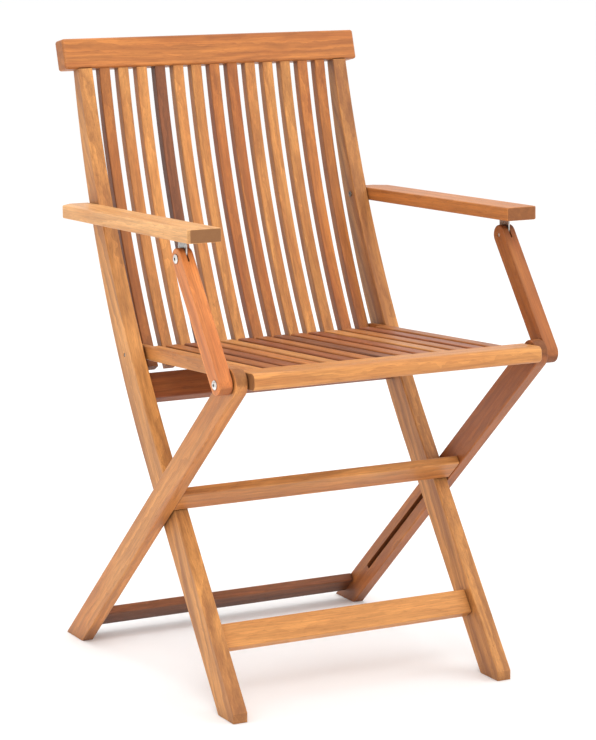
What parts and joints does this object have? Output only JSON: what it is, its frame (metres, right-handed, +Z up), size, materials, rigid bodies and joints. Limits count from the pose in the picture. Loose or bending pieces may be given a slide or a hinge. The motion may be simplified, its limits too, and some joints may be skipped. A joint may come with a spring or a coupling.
{
  "type": "folding chair",
  "caption": "Folding wooden garden armchair with a curved slatted back, slatted seat and hinged armrests.",
  "frame": {"origin": "floor level, at the centre of the unfolded chair's bounding box", "axes": "+Z up, +X to the right as seen from in front of the chair, +Y from the front of the seat to its back"},
  "size_m": [0.544, 0.6045, 0.8977],
  "materials": {
    "acacia_frame": "oiled, satin",
    "acacia_slats": "oiled, satin",
    "steel": "satin, zinc plated"
  },
  "bodies": {
    "back_frame": {"post_left": "acacia_frame", "post_right": "acacia_frame", "crest_rail": "acacia_frame", "back_slat_01": "acacia_slats", "back_slat_02": "acacia_slats", "back_slat_03": "acacia_slats", "back_slat_04": "acacia_slats", "back_slat_05": "acacia_slats", "back_slat_06": "acacia_slats", "back_slat_07": "acacia_slats", "back_slat_08": "acacia_slats", "back_slat_09": "acacia_slats", "back_slat_10": "acacia_slats", "back_slat_11": "acacia_slats", "back_slat_12": "acacia_slats", "back_slat_13": "acacia_slats", "lower_back_rail": "acacia_frame", "front_stretcher": "acacia_frame", "slat_rail": "acacia_frame", "arm_pivot_bolts": "steel", "slot_pegs": "steel", "seat_rear_pins": "steel"},
    "seat": {"seat_side_rail_left": "acacia_frame", "seat_side_rail_right": "acacia_frame", "seat_front_rail": "acacia_frame", "seat_rear_rail": "acacia_frame", "seat_slat_01": "acacia_slats", "seat_slat_02": "acacia_slats", "seat_slat_03": "acacia_slats", "seat_slat_04": "acacia_slats", "seat_slat_05": "acacia_slats", "seat_slat_06": "acacia_slats", "seat_slat_07": "acacia_slats", "seat_slat_08": "acacia_slats", "seat_slat_09": "acacia_slats", "seat_slat_10": "acacia_slats", "seat_slat_11": "acacia_slats", "seat_slat_12": "acacia_slats", "seat_front_pins": "steel"},
    "leg_frame": {"short_leg_left": "acacia_frame", "short_leg_right": "acacia_frame", "middle_stretcher": "acacia_frame", "rear_stretcher": "acacia_frame"},
    "arm_left": {"armrest_left": "acacia_frame", "arm_plate_left": "steel"},
    "strut_left_body": {"strut_left": "acacia_frame", "strut_top_screw_left": "steel", "strut_foot_screw_left": "steel"},
    "arm_right": {"armrest_right": "acacia_frame", "arm_plate_right": "steel"},
    "strut_right_body": {"strut_right": "acacia_frame", "strut_top_screw_right": "steel", "strut_foot_screw_right": "steel"}
  },
  "joints": [
    {"name": "seat_fold", "type": "hinge", "parent": "back_frame", "child": "seat", "pos_m": [0, 0.11, 0.455], "axis": [-1, 0, 0], "range_deg": [0, 96]},
    {"name": "leg_fold", "type": "hinge", "parent": "seat", "child": "leg_frame", "pos_m": [0, -0.2674, 0.4785], "axis": [-1, 0, 0], "range_deg": [-30, 0]},
    {"name": "arm_left_fold", "type": "hinge", "parent": "back_frame", "child": "arm_left", "pos_m": [-0.2475, 0.204, 0.654], "axis": [-1, 0, 0], "range_deg": [0, 98]},
    {"name": "strut_left_turn", "type": "hinge", "parent": "arm_left", "child": "strut_left_body", "pos_m": [-0.2535, -0.1523, 0.6306], "axis": [-1, 0, 0], "range_deg": [-118, 0]},
    {"name": "arm_right_fold", "type": "hinge", "parent": "back_frame", "child": "arm_right", "pos_m": [0.2475, 0.204, 0.654], "axis": [-1, 0, 0], "range_deg": [0, 98]},
    {"name": "strut_right_turn", "type": "hinge", "parent": "arm_right", "child": "strut_right_body", "pos_m": [0.2535, -0.1523, 0.6306], "axis": [-1, 0, 0], "range_deg": [-118, 0]}
  ],
  "couplings": [
    {"joint": "leg_fold", "follows": "seat_fold", "ratio": -0.3041},
    {"joint": "arm_left_fold", "follows": "seat_fold", "ratio": 1.0182},
    {"joint": "strut_left_turn", "follows": "seat_fold", "ratio": -1.2269},
    {"joint": "arm_right_fold", "follows": "seat_fold", "ratio": 1.0182},
    {"joint": "strut_right_turn", "follows": "seat_fold", "ratio": -1.2269}
  ]
}
